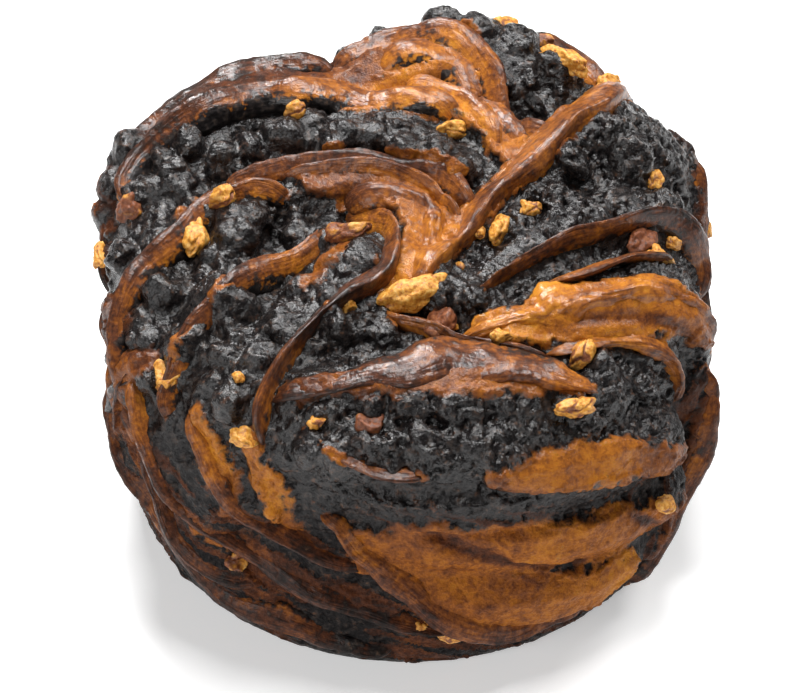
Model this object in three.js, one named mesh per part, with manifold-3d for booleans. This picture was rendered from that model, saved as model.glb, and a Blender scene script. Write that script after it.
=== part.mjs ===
// A round braided loaf: filled dough rolled into ropes, plaited into a knot and baked in a round tin.
// The ropes bake together, so the loaf is one closed solid with a flat base. Millimetres, +Z up.

import * as THREE from "three";
import { mergeVertices } from "three/addons/utils/BufferGeometryUtils.js";
import Module from "manifold-3d";

// Driving dimensions
const TIN_RADIUS = 69; // the wall that the tin gives the dough, under the ropes
const BASE_RADIUS = 58; // the flat that the loaf stands on
const CORNER_HEIGHT = 12; // how far up the rounded bottom corner reaches
const WALL_TOP = 60; // where the wall turns in towards the crown
const CROWN_RADIUS = 48;
const CROWN_HEIGHT = 77;
const MIDDLE = new THREE.Vector3(0, 0, 35); // ropes are flattened as seen from here

// Mesh fineness
const BODY_SIDES = 40;
const ROPE_SIDES = 10;
const ROPE_STEPS = 9;
const CAP_STEPS = 2;
const MERGE_WITHIN = 1e-3;

// Ropes over the crown; the front of the loaf is towards -Y and its back towards +Y.
// Each row is [x, y, z, half width], along the middle of the rope.
const CROWN_ROPES = {
  left_lobe: [
    [-2, 34, 74, 11],
    [-26, 44, 75, 14],
    [-50, 33, 72, 16],
    [-56, 0, 65, 16],
    [-52, -30, 57, 15],
    [-42, -49, 45, 12],
  ],
  inner_whorl: [
    [-28, 12, 74, 11],
    [-6, 15, 75, 12],
    [0, -4, 73, 11],
    [-16, -22, 71, 12],
    [-28, -42, 65, 12],
    [-32, -56, 51, 9],
  ],
  left_fill: [
    [-36, 14, 73, 11],
    [-42, -8, 71, 12],
    [-38, -28, 67, 11],
    [-34, -46, 58, 9],
  ],
  back_lobe: [
    [-26, 41, 73, 11],
    [-6, 52, 77, 14],
    [17, 54, 79, 16],
    [36, 44, 75, 15],
    [38, 28, 68, 12],
  ],
  back_inner: [
    [-12, 32, 76, 10],
    [9, 34, 78, 12],
    [22, 22, 75, 11],
    [25, 8, 68, 9],
  ],
  right_lobe: [
    [0, -16, 70, 9],
    [22, 8, 74, 12],
    [44, 31, 76, 15],
    [55, 32, 69, 15],
    [59, 26, 52, 13],
  ],
  right_fill: [
    [14, -20, 71, 10],
    [36, -2, 73, 13],
    [53, 8, 69, 15],
    [60, 8, 51, 13],
  ],
  right_shoulder: [
    [18, -30, 69, 11],
    [38, -24, 72, 13],
    [55, -16, 67, 14],
    [59, -14, 49, 13],
  ],
  front_log: [
    [-34, -44, 66, 10],
    [-12, -48, 70, 11],
    [16, -49, 70, 11],
    [42, -44, 67, 9],
  ],
  middle_fold: [
    [-40, 22, 77, 9],
    [-22, 26, 81, 9],
    [0, 25, 82, 9],
    [15, 14, 79, 8],
  ],
  centre: [
    [-16, -6, 71, 11],
    [4, -16, 73, 11],
    [24, -32, 71, 11],
  ],
};

// Ropes down the wall. The last ones are repeated round the sides and back.
const WALL_ROPES = {
  front_fill: [
    [-22, -54, 57, 11],
    [4, -59, 58, 13],
    [30, -54, 57, 13],
    [52, -40, 52, 12],
  ],
  front_band: [
    [4, -61, 43, 10],
    [32, -56, 41, 11],
    [54, -40, 37, 11],
  ],
  front_skirt: [
    [-12, -58, 31, 10],
    [14, -59, 26, 13],
    [38, -49, 22, 13],
    [52, -36, 22, 11],
  ],
  right_end: [
    [62, -20, 54, 9],
    [61, -24, 32, 10],
    [54, -30, 15, 9],
  ],
  left_front: [
    [-44, -42, 49, 10],
    [-44, -48, 30, 10],
    [-28, -54, 13, 10],
  ],
  left_side: [
    [-58, -22, 53, 10],
    [-58, -28, 32, 10],
    [-46, -38, 13, 10],
  ],
};

// One slanting rope of the wall, as [turn in degrees, distance from the axis, height, half width].
const SIDE_ROPE = [
  [18, 58, 64, 11],
  [8, 61, 45, 11],
  [-4, 60, 26, 11],
  [-14, 52, 12, 9],
];
const SIDE_ROPE_TURNS = [188, 162, 136, 110, 84, 58, 32, 6]; // degrees round from +X

const CRUST = new THREE.MeshStandardMaterial({ color: 0x6b3a1c, roughness: 0.45, metalness: 0 });

const wasm = await Module();
wasm.setup();

function toSolid(geometry) {
  const bare = geometry.clone();
  bare.deleteAttribute("normal");
  bare.deleteAttribute("uv");
  const merged = mergeVertices(bare, MERGE_WITHIN);
  return new wasm.Manifold(
    new wasm.Mesh({
      numProp: 3,
      vertProperties: merged.attributes.position.array,
      triVerts: new Uint32Array(merged.index.array),
    }),
  );
}

function toGeometry(solid) {
  const { numProp, vertProperties, triVerts } = solid.getMesh();
  const places = new THREE.InterleavedBuffer(vertProperties, numProp);
  const geometry = new THREE.BufferGeometry();
  geometry.setAttribute("position", new THREE.InterleavedBufferAttribute(places, 3, 0));
  geometry.setIndex(new THREE.BufferAttribute(triVerts, 1));
  return geometry.toNonIndexed();
}

// The drum of dough that the tin shapes: flat base, rounded corner, wall and low crown.
function drum() {
  const outline = new THREE.Path();
  outline.moveTo(0, 0);
  outline.lineTo(BASE_RADIUS, 0);
  outline.quadraticCurveTo(TIN_RADIUS, 0, TIN_RADIUS, CORNER_HEIGHT);
  outline.lineTo(TIN_RADIUS, WALL_TOP);
  outline.quadraticCurveTo(TIN_RADIUS, CROWN_HEIGHT, CROWN_RADIUS, CROWN_HEIGHT);
  outline.lineTo(0, CROWN_HEIGHT);
  const lathe = new THREE.LatheGeometry(outline.getPoints(5), BODY_SIDES);
  return lathe.rotateX(Math.PI / 2); // the lathe turns about Y
}

// A rope is a capsule bent along a smooth curve, as thick at each place as its rows say.
function rope(rows) {
  const path = new THREE.CatmullRomCurve3(rows.map(([x, y, z]) => new THREE.Vector3(x, y, z)));
  const thickness = new THREE.CatmullRomCurve3(rows.map(([, , , r], i) => new THREE.Vector3(i, r, 0)));
  const capsule = new THREE.CapsuleGeometry(1, 1, CAP_STEPS, ROPE_SIDES, ROPE_STEPS);
  const corners = capsule.attributes.position;
  for (let i = 0; i < corners.count; i++) {
    const along = corners.getY(i) + 0.5;
    const t = THREE.MathUtils.clamp(along, 0, 1);
    const centre = path.getPoint(t);
    const tangent = path.getTangent(t);
    const radius = thickness.getPoint(t).y;
    const outward = centre.clone().sub(MIDDLE).projectOnPlane(tangent).normalize();
    const sideways = tangent.clone().cross(outward);
    centre.addScaledVector(sideways, corners.getX(i) * radius);
    centre.addScaledVector(outward, corners.getZ(i) * radius);
    centre.addScaledVector(tangent, (along - t) * radius);
    corners.setXYZ(i, centre.x, centre.y, centre.z);
  }
  return capsule;
}

function sideRope(turn) {
  return SIDE_ROPE.map(([degrees, distance, z, halfWidth]) => {
    const angle = THREE.MathUtils.degToRad(turn + degrees);
    return [distance * Math.cos(angle), distance * Math.sin(angle), z, halfWidth];
  });
}

// Everything below the surface that the loaf stands on is cut away.
function underTheBase() {
  const size = 4 * TIN_RADIUS;
  return new THREE.BoxGeometry(size, size, size).translate(0, 0, -size / 2);
}

// Dough has no sealed pockets where ropes meet, so only the outer skin is kept.
function withoutPockets(solid) {
  const skins = solid.decompose();
  return skins.reduce((outer, skin) => (skin.volume() > outer.volume() ? skin : outer));
}

function loaf() {
  const ropes = [
    ...Object.values(CROWN_ROPES),
    ...Object.values(WALL_ROPES),
    ...SIDE_ROPE_TURNS.map(sideRope),
  ];
  let solid = toSolid(drum());
  for (const rows of ropes) solid = solid.add(toSolid(rope(rows)));
  solid = withoutPockets(solid.subtract(toSolid(underTheBase())));
  const geometry = toGeometry(solid);
  geometry.computeBoundingBox();
  const centre = geometry.boundingBox.getCenter(new THREE.Vector3());
  geometry.translate(-centre.x, -centre.y, 0); // the origin is the middle of the base
  geometry.computeVertexNormals();
  return geometry;
}

const bread = new THREE.Group();
const braidedLoaf = new THREE.Mesh(loaf(), CRUST);
braidedLoaf.name = "braided_loaf";
bread.add(braidedLoaf);

export default bread;
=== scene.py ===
# %% [markdown]
# # A round braided loaf
# A filled, plaited loaf is one lump of dough, rolled up with a dark filling, cut lengthwise, twisted and
# knotted into a round tin. Baking glues it into one piece, so the frame holds one solid. What makes it
# look real is the order of its skin: a crumbly dark filling below, glossy dough edges standing out of it,
# and toasted walnuts lying in the gaps. The lesson builds the skin in that order, over the frame's solid.

# %% Load the frame
import math
import random

import bpy
import numpy as np
from mathutils import Matrix, Vector, noise
from mathutils.bvhtree import BVHTree


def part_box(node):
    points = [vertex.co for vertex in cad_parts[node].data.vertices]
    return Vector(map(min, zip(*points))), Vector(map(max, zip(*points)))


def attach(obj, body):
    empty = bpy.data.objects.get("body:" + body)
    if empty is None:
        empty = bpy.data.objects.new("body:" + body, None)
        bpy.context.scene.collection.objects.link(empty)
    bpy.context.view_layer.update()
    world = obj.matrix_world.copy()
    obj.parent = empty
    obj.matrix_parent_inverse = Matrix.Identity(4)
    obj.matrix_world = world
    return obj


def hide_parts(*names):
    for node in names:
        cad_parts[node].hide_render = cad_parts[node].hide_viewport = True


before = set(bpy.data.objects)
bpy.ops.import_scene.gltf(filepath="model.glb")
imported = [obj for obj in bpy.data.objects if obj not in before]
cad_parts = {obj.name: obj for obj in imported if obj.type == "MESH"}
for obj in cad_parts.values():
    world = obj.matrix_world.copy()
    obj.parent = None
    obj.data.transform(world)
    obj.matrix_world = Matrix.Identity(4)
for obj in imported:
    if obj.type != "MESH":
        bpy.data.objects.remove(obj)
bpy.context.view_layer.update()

MM = 0.001
LOAF = "braided_loaf"
LOW, HIGH = (Vector(corner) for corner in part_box(LOAF))
SIZE = HIGH - LOW
print("loaf box in mm:", [round(side / MM, 1) for side in SIZE])

# %% [markdown]
# ## Places on the loaf
# A place is given as three shares of the loaf's box: how far right, how far back, and how high. The point
# is then pulled onto the crust along a straight line towards the middle of the loaf. That way a strand
# keeps its place on the crust even if the loaf is made a little larger or its lobes swell.

# %% Pull a place onto the crust
MIDDLE = Vector((0, 0, 0.37 * SIZE.z))
OUTSIDE = 0.15  # metres, well clear of the loaf

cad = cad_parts[LOAF]
crust_tree = BVHTree.FromPolygons(
    [v.co.copy() for v in cad.data.vertices],
    [tuple(p.vertices) for p in cad.data.polygons],
)


def share(x, y, z):
    """A point from its shares of the box: x and y run from -1 to 1, z from 0 to 1."""
    return Vector((x * SIZE.x / 2, y * SIZE.y / 2, z * SIZE.z))


def reach(direction):
    """How far the crust is from the middle in that direction."""
    start = MIDDLE + direction * OUTSIDE
    hit, _, _, _ = crust_tree.ray_cast(start, -direction)
    return (hit - MIDDLE).length if hit else 0.0


def on_crust(x, y, z, lift=0.0):
    direction = (share(x, y, z) - MIDDLE).normalized()
    return MIDDLE + direction * (reach(direction) + lift)


def away(point):
    """The direction out of the loaf at a point."""
    return (point - MIDDLE).normalized()


print("crust above the middle, in mm:", round(reach(Vector((0, 0, 1))) / MM, 1))

# %% Helpers for modelling
RNG = random.Random(7)


def deselect():
    if bpy.context.object and bpy.context.object.mode != "OBJECT":
        bpy.ops.object.mode_set(mode="OBJECT")
    bpy.ops.object.select_all(action="DESELECT")


def pick(piece):
    deselect()
    piece.select_set(True)
    bpy.context.view_layer.objects.active = piece


def join(pieces, name):
    """Several meshes become one piece, with its place in its mesh."""
    deselect()
    for piece in pieces:
        piece.select_set(True)
    bpy.context.view_layer.objects.active = pieces[0]
    if len(pieces) > 1:
        bpy.ops.object.join()
    joined = bpy.context.object
    bpy.ops.object.transform_apply(location=True, rotation=True, scale=True)
    joined.name = name
    joined.data.name = name
    return joined


def corners(piece):
    """All corners of a mesh as rows of x, y, z."""
    flat = np.empty(len(piece.data.vertices) * 3)
    piece.data.vertices.foreach_get("co", flat)
    return flat.reshape(-1, 3)


def move_corners(piece, places):
    piece.data.vertices.foreach_set("co", np.asarray(places).ravel())
    piece.data.update()


def mark(piece, name, values):
    """A number on every corner, which a material can read by that name."""
    layer = piece.data.attributes.new(name, "FLOAT", "POINT")
    layer.data.foreach_set("value", np.asarray(values, dtype=np.float32))


def smoothstep(low, high, values):
    share_of_way = np.clip((values - low) / (high - low), 0, 1)
    return share_of_way * share_of_way * (3 - 2 * share_of_way)


# %% [markdown]
# ## Where the dough edges run
# Cutting the rolled dough lengthwise opens its layers, and each layer's edge shows as a strand that runs
# along its lobe. The strands are drawn as short lists of stations. A station is its place (shares of the
# box), half its width and half its depth in millimetres, and how brown it is baked, from 0 for golden to 1
# for nearly black.

# %% Strands of the left whorl
LEFT_WHORL = {
    "rim": [
        (-0.26, 0.67, 0.89, 1.4, 3, 0.7), (-0.38, 0.67, 0.88, 2.6, 4, 0.68),
        (-0.53, 0.64, 0.86, 3.6, 4.5, 0.74), (-0.72, 0.53, 0.82, 3.8, 4.5, 0.76),
        (-0.85, 0.36, 0.77, 3.2, 4.5, 0.74), (-0.92, 0.16, 0.69, 2.2, 4, 0.75),
        (-0.96, 0, 0.6, 1.2, 3, 0.7),
    ],
    "outer": [
        (0.14, 0.4, 0.88, 2, 3.5, 0.15), (0.02, 0.48, 0.9, 4.4, 4.5, 0.2), (-0.14, 0.52, 0.9, 5.6, 5, 0.2),
        (-0.3, 0.53, 0.9, 5, 5, 0.25), (-0.48, 0.48, 0.88, 3.6, 4.5, 0.5),
        (-0.64, 0.39, 0.85, 2.8, 4.5, 0.62), (-0.77, 0.25, 0.8, 2.2, 4, 0.6),
        (-0.83, 0.12, 0.77, 1.2, 3, 0.5),
    ],
    "second": [
        (-0.62, 0.16, 0.85, 0.9, 3, 0.5), (-0.5, 0.21, 0.87, 1.5, 4, 0.55),
        (-0.34, 0.22, 0.89, 1.9, 4.5, 0.6), (-0.16, 0.21, 0.9, 2.1, 5, 0.62),
        (0.02, 0.19, 0.9, 2.3, 5, 0.65), (0.13, 0.15, 0.89, 2.4, 5, 0.5), (0.2, 0.06, 0.87, 1.8, 4.5, 0.3),
    ],
    "second_fold": [
        (-0.44, 0.19, 0.86, 0.8, 2.5, 0.45), (-0.24, 0.18, 0.88, 1.2, 3.5, 0.4),
        (-0.04, 0.15, 0.88, 1.5, 4, 0.35), (0.1, 0.09, 0.87, 1.4, 4, 0.25), (0.15, 0, 0.85, 0.9, 3, 0.15),
    ],
    "third": [
        (-0.42, 0.11, 0.89, 1.4, 3, 0.3), (-0.53, 0.12, 0.88, 2, 4, 0.25),
        (-0.64, 0.07, 0.87, 2.1, 4.2, 0.32), (-0.72, -0.02, 0.84, 1.9, 4.5, 0.45),
        (-0.78, -0.12, 0.8, 1.8, 4.5, 0.5), (-0.82, -0.22, 0.75, 1.8, 4.2, 0.5),
        (-0.85, -0.31, 0.68, 1.7, 4, 0.4), (-0.86, -0.4, 0.6, 1.2, 3.5, 0.35),
    ],
    "fourth": [
        (-0.27, 0.02, 0.89, 0.9, 3, 0.35), (-0.345, -0.08, 0.88, 1.7, 4.5, 0.3),
        (-0.44, -0.17, 0.86, 2.1, 4.6, 0.35), (-0.52, -0.26, 0.83, 1.9, 4.5, 0.5),
        (-0.57, -0.35, 0.79, 1.7, 4.5, 0.55), (-0.63, -0.43, 0.74, 1.7, 4.5, 0.5),
        (-0.67, -0.5, 0.68, 1.5, 4, 0.4), (-0.69, -0.56, 0.62, 1, 3.5, 0.4),
    ],
    "hook": [
        (-0.24, 0.06, 0.89, 1.2, 3.5, 0.15), (-0.16, 0.03, 0.9, 2.4, 5, 0.1),
        (-0.095, -0.04, 0.9, 3, 6, 0.15), (-0.07, -0.13, 0.89, 2.9, 6.5, 0.3),
        (-0.085, -0.23, 0.88, 2.4, 6.5, 0.5), (-0.135, -0.31, 0.87, 2.1, 6, 0.65),
        (-0.21, -0.37, 0.86, 1.9, 6, 0.7), (-0.285, -0.44, 0.84, 1.7, 5.5, 0.65),
        (-0.345, -0.52, 0.81, 1.5, 5.5, 0.55), (-0.385, -0.585, 0.77, 1.4, 5, 0.5),
        (-0.41, -0.65, 0.72, 1.3, 4.5, 0.45), (-0.42, -0.72, 0.66, 0.9, 4, 0.5),
    ],
}
WHORL_FACES = {
    "inner_face": [
        (-0.22, 0.1, 0.86, 2.5, 4, 0.45), (-0.04, 0.09, 0.87, 4.6, 5.5, 0.35),
        (0.05, 0, 0.87, 5.2, 6.5, 0.22), (0.06, -0.14, 0.85, 3.8, 6, 0.15),
        (0.01, -0.28, 0.82, 2.5, 5, 0.1),
    ],
}
print("whorl strands:", len(LEFT_WHORL) + len(WHORL_FACES))

# %% Strands of the right fan
RIGHT_FAN = {
    "ridge": [
        (0, -0.33, 0.82, 1.6, 4.5, 0.15), (0.05, -0.23, 0.85, 3, 6, 0.15),
        (0.14, -0.1, 0.87, 3.4, 6.5, 0.25), (0.29, 0.09, 0.89, 3.4, 6.5, 0.35),
        (0.48, 0.33, 0.9, 3.6, 6, 0.25), (0.62, 0.52, 0.88, 3.8, 5.5, 0.3), (0.72, 0.63, 0.83, 3.2, 5, 0.8),
        (0.79, 0.68, 0.73, 1.8, 4, 0.9),
    ],
    "thin": [
        (0.16, -0.36, 0.83, 0.7, 3, 0.5), (0.29, -0.26, 0.86, 1.2, 4.5, 0.45),
        (0.46, -0.16, 0.88, 1.5, 5, 0.45), (0.66, -0.06, 0.87, 1.6, 5, 0.5),
        (0.84, 0.04, 0.82, 1.7, 5, 0.7), (0.95, 0.05, 0.74, 1.8, 4.5, 0.6),
        (0.98, -0.02, 0.64, 1.2, 3.5, 0.5),
    ],
    "under_thin": [
        (0.4, -0.29, 0.84, 0.8, 2.5, 0.35), (0.56, -0.24, 0.85, 1.3, 3.5, 0.3),
        (0.72, -0.16, 0.84, 1.2, 3.5, 0.45), (0.86, -0.09, 0.79, 0.9, 3, 0.6),
    ],
}
FAN_FACES = {
    "broad": [
        (0.16, -0.49, 0.81, 1, 3, 0.1), (0.3, -0.46, 0.84, 3.4, 4.5, 0), (0.45, -0.41, 0.85, 5, 5.5, 0.02),
        (0.6, -0.35, 0.84, 5.4, 6, 0.08), (0.76, -0.29, 0.8, 4.8, 6, 0.12),
        (0.89, -0.25, 0.73, 3.6, 5.5, 0.35), (0.95, -0.27, 0.62, 2.2, 4.5, 0.55),
    ],
    "lower": [
        (0.42, -0.53, 0.81, 1.2, 3, 0.1), (0.56, -0.48, 0.81, 2.8, 4.5, 0.2),
        (0.72, -0.44, 0.77, 3, 5, 0.15), (0.83, -0.43, 0.68, 2.4, 5, 0.3), (0.87, -0.44, 0.58, 1.4, 4, 0.4),
    ],
}
print("fan strands:", len(RIGHT_FAN) + len(FAN_FACES))

# %% Strands of the front log and the back loop
FRONT_LOG = {
    "log": [
        (-0.38, -0.6, 0.72, 1.2, 4, 0.6), (-0.22, -0.61, 0.77, 3.4, 5.5, 0.66),
        (-0.03, -0.615, 0.79, 4.6, 6.5, 0.68), (0.13, -0.6, 0.81, 5.6, 7, 0.6),
        (0.28, -0.615, 0.8, 5.2, 6.5, 0.5), (0.42, -0.63, 0.785, 3.8, 5, 0.35),
        (0.54, -0.62, 0.77, 1.4, 3.5, 0.3),
    ],
    "log_edge": [
        (-0.12, -0.38, 0.82, 0.7, 2.5, 0.25), (0, -0.45, 0.84, 1.5, 4, 0.3),
        (0.14, -0.52, 0.83, 1.8, 4.8, 0.35), (0.3, -0.565, 0.825, 1.5, 4.5, 0.4),
        (0.45, -0.6, 0.8, 0.8, 3, 0.35),
    ],
}
BACK_LOOP = {
    "loop": [
        (-0.24, 0.66, 0.88, 1, 3, 0.5), (-0.12, 0.73, 0.92, 2, 4.5, 0.45), (0.02, 0.75, 0.95, 2.4, 5, 0.35),
        (0.16, 0.71, 0.96, 2.4, 5.5, 0.35), (0.3, 0.57, 0.95, 2.4, 5.5, 0.4),
        (0.38, 0.43, 0.91, 2.2, 5, 0.4), (0.4, 0.3, 0.85, 1.4, 4, 0.4),
    ],
    "inner_loop": [
        (-0.1, 0.62, 0.89, 1.2, 3.5, 0.3), (0.06, 0.64, 0.92, 2, 4.5, 0.2),
        (0.19, 0.55, 0.92, 2.2, 5, 0.25), (0.28, 0.42, 0.89, 2, 4.5, 0.3),
        (0.31, 0.26, 0.83, 1.2, 3.5, 0.3),
    ],
    "knob": [
        (-0.02, 0.56, 0.88, 1.6, 3.5, 0.15), (0.1, 0.52, 0.89, 2.6, 4.5, 0.1),
        (0.19, 0.4, 0.87, 2.4, 4.5, 0.15), (0.24, 0.26, 0.83, 1.4, 3.5, 0.2),
    ],
    "far_edge": [
        (0.38, 0.84, 0.9, 1.6, 4, 0.8), (0.48, 0.8, 0.9, 2.6, 5, 0.6), (0.6, 0.72, 0.87, 2.4, 5, 0.4),
        (0.67, 0.64, 0.83, 1.8, 4.5, 0.45), (0.7, 0.58, 0.76, 1, 3.5, 0.5),
    ],
}
print("log and loop strands:", len(FRONT_LOG) + len(BACK_LOOP))

# %% Strands down the front wall
# Their bake rises towards the bottom of the wall, most on the left. That is partly a darker crust and
# partly painted shade on the low wall.
FRONT_WALL = {
    "left_outer": [
        (-0.94, -0.06, 0.64, 1.2, 3, 0.45), (-0.95, -0.2, 0.52, 2, 4, 0.5),
        (-0.92, -0.36, 0.39, 2.4, 4.5, 0.52), (-0.8, -0.56, 0.28, 2.4, 4.5, 0.58),
        (-0.58, -0.77, 0.2, 2.4, 4, 0.65), (-0.3, -0.88, 0.14, 2, 4, 0.7),
        (-0.05, -0.92, 0.11, 1.2, 3, 0.75),
    ],
    "left_near": [
        (-0.9, -0.3, 0.62, 1, 3, 0.35), (-0.89, -0.4, 0.52, 1.8, 4, 0.44),
        (-0.84, -0.51, 0.4, 2.2, 4.5, 0.5), (-0.68, -0.69, 0.3, 2, 4.5, 0.65),
        (-0.48, -0.83, 0.25, 1.4, 3.5, 0.7),
    ],
    "left_middle": [
        (-0.84, -0.46, 0.66, 1.2, 3.5, 0.25), (-0.8, -0.56, 0.57, 2, 4.5, 0.35),
        (-0.72, -0.66, 0.45, 2.4, 4.5, 0.55), (-0.55, -0.8, 0.35, 2.4, 4.5, 0.65),
        (-0.3, -0.92, 0.28, 2.2, 4, 0.7), (-0.05, -0.96, 0.22, 1.8, 3.5, 0.75),
        (0.14, -0.95, 0.17, 1, 3, 0.7),
    ],
    "left_inner": [
        (-0.68, -0.66, 0.7, 1.2, 3.5, 0.15), (-0.63, -0.74, 0.6, 2.2, 4.5, 0.25),
        (-0.52, -0.84, 0.51, 2.2, 5, 0.5), (-0.34, -0.92, 0.44, 2, 4.5, 0.6),
        (-0.14, -0.97, 0.38, 1.4, 3.5, 0.65),
    ],
    "skirt_edge": [
        (-0.26, -0.92, 0.56, 0.8, 2.5, 0.3), (-0.2, -0.95, 0.51, 1.6, 3.5, 0.25),
        (-0.11, -0.97, 0.42, 2, 4, 0.4), (0.02, -0.97, 0.32, 2.2, 4, 0.45),
        (0.2, -0.95, 0.22, 2.4, 4, 0.45), (0.4, -0.87, 0.16, 2.2, 4, 0.45),
        (0.55, -0.76, 0.16, 1.4, 3, 0.4),
    ],
    "torn_edge": [
        (-0.3, -0.78, 0.74, 0.6, 2.5, 0.4), (-0.17, -0.86, 0.7, 1, 3.5, 0.46),
        (-0.05, -0.89, 0.685, 1, 3.5, 0.5), (0.06, -0.9, 0.68, 0.6, 2.5, 0.55),
    ],
    "right_near": [
        (0.93, -0.32, 0.6, 1.2, 3, 0.45), (0.93, -0.37, 0.46, 2, 4, 0.5), (0.88, -0.43, 0.32, 2.4, 4, 0.5),
        (0.78, -0.5, 0.18, 2.2, 3.5, 0.5), (0.66, -0.56, 0.08, 1.4, 3, 0.5),
    ],
    "right_far": [
        (0.98, -0.1, 0.6, 1.4, 3, 0.7), (0.98, -0.15, 0.44, 2.2, 4, 0.6), (0.93, -0.24, 0.26, 2.2, 4, 0.6),
        (0.8, -0.32, 0.09, 1.4, 3, 0.6),
    ],
}
print("front wall strands:", len(FRONT_WALL))

# %% [markdown]
# The sides and the back show the same lobes turning over the rim and slanting down the wall. They repeat,
# so a loop makes them: each lobe gets a few edges side by side, with a width and a bake of their own.

# %% Strands round the sides and the back
SLANT = [(18, 0.74), (12, 0.60), (6, 0.44), (-3, 0.28), (-12, 0.12)]  # turn in degrees, height share
LOBE_TURNS = [4, 24, 52, 71, 99, 120, 148, 167, 191]  # degrees round from +X
EDGE_TURNS = [-8, -1, 7]


def slanting(turn, half_width, bake_and_shade, wander):
    rows = []
    turn += RNG.uniform(-wander, wander)
    steep = RNG.uniform(0.5, 1.5)
    for k, (lean, height) in enumerate(SLANT):
        angle = math.radians(turn + steep * lean + RNG.uniform(-wander, wander))
        end = 0.5 if k in (0, len(SLANT) - 1) else 1
        own_bake = min(1, max(0, bake_and_shade + RNG.uniform(-0.2, 0.2)))
        rows.append((math.cos(angle), math.sin(angle), height, half_width * end, 4.0, own_bake))
    return rows


SIDES = {
    f"side_{lobe}_{edge}": slanting(lobe + edge, RNG.uniform(0.8, 3.0), RNG.uniform(0.55, 0.95), 2.2)
    for lobe in LOBE_TURNS
    for edge in EDGE_TURNS
}
RIM_EDGES = {
    "back_rim": [
        (-0.4, 0.86, 0.74, 1.6, 4, 0.7), (-0.1, 0.98, 0.78, 3, 4.5, 0.75),
        (0.25, 0.96, 0.8, 3.4, 4.5, 0.85), (0.52, 0.84, 0.74, 3, 4.5, 0.8), (0.66, 0.74, 0.62, 1.6, 4, 0.7),
    ],
    "back_under_rim": [
        (-0.5, 0.84, 0.62, 1.4, 4, 0.5), (-0.12, 0.99, 0.68, 2.4, 4.5, 0.45),
        (0.28, 0.96, 0.68, 2.4, 4.5, 0.55), (0.6, 0.78, 0.56, 1.4, 4, 0.6),
    ],
    "left_rim": [
        (-0.42, 0.8, 0.8, 1.4, 4, 0.85), (-0.74, 0.62, 0.74, 2.2, 4.5, 0.9),
        (-0.94, 0.32, 0.62, 1.8, 4.5, 0.85), (-0.98, 0, 0.5, 1, 4, 0.75),
    ],
}
print("side and back strands:", len(SIDES) + len(RIM_EDGES))

# %% [markdown]
# ## One strand of dough
# A strand starts as a ball with many rings, which is rolled out by hand, so to speak: each ring is moved
# to its station along the route and pinched there to a rounded ridge. Its ends dip into the loaf, its
# thickness wavers, and fine ridges run along it, because dough stretches as it rises. A ball is closed at
# both ends, so the strand has no open seam. A curve with a bevel would be quicker, but its section can't
# change on the way.

# %% Follow a route
RING_STEP = 0.8 * MM


def spline(rows, count):
    """A smooth curve through all columns of the rows at once, at evenly spaced steps."""
    rows = np.asarray(rows, dtype=float)
    padded = np.vstack([2 * rows[0] - rows[1], rows, 2 * rows[-1] - rows[-2]])
    steps = np.linspace(0, len(rows) - 1, count)
    whole = np.minimum(steps.astype(int), len(rows) - 2)
    t = (steps - whole)[:, None]
    a, b, c, d = (padded[whole + k] for k in range(4))
    return 0.5 * (2 * b + (c - a) * t + (2 * a - 5 * b + 4 * c - d) * t**2 + (3 * b - a - 3 * c + d) * t**3)


def length_of(places):
    return np.linalg.norm(np.diff(places, axis=0), axis=1).sum()


def even(values, window=7):
    """A running mean along a route, so that a strand spans small hollows."""
    padded = np.pad(values, window // 2, mode="edge")
    return np.convolve(padded, np.ones(window) / window, mode="valid")


def ripple(seed, along, wavelength):
    """A slow random wave along a route, from about -1 to 1."""
    return np.array([2 * noise.noise(Vector((seed, 3.7, a / wavelength))) for a in along])


BELOW_CRUST = 1.5 * MM  # where the crust bulges, a strand is lifted to at most this far below it
END_DIP = 3.5  # millimetres that its ends dip into the loaf
END_RUN = 8  # millimetres over which they dip


def route(rows, proud, wander):
    """Ring middles, outward directions, half sizes, bake (with any painted shade) and distance along, for
    one strand.
    """
    stations = [(*on_crust(x, y, z), w * MM, h * MM, bake_and_shade) for x, y, z, w, h, bake_and_shade in rows]
    length = length_of(np.array([s[:3] for s in stations]))
    count = max(20, int(length / RING_STEP))
    line = spline(stations, count)
    along = np.linspace(0, length, count) / MM
    middle = np.array(MIDDLE)
    outward = line[:, :3] - middle
    far = np.linalg.norm(outward, axis=1)
    outward /= far[:, None]
    crust = np.array([reach(Vector(d)) for d in outward])
    far = even(np.maximum(far, crust - BELOW_CRUST))
    # width, height and course each waver slowly, in waves of 11 to 14 mm
    seed = RNG.uniform(0, 100)
    width = line[:, 3] * (1 + 0.28 * ripple(seed, along, 11))
    depth = line[:, 4]
    to_end = np.minimum(along, along[-1] - along)
    dip = END_DIP * (1 - smoothstep(0, END_RUN, to_end)) ** 2
    lift = proud - dip + 0.7 * ripple(seed + 9, along, 14)
    centre = middle + outward * (far + lift * MM - depth)[:, None]
    tangent = np.gradient(centre, axis=0)
    side = np.cross(tangent, outward)
    side /= np.linalg.norm(side, axis=1)[:, None]
    centre += side * (wander * MM * ripple(seed + 17, along, 12))[:, None]
    return centre, outward, width, depth, line[:, 5], along


# %% Roll out one strand
END_ROUND = 4  # millimetres over which an end is rounded off
STREAKS = 20  # how many streaks of the finish run side by side round a strand
OFF_THE_BOARD = 0.3 * MM


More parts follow.
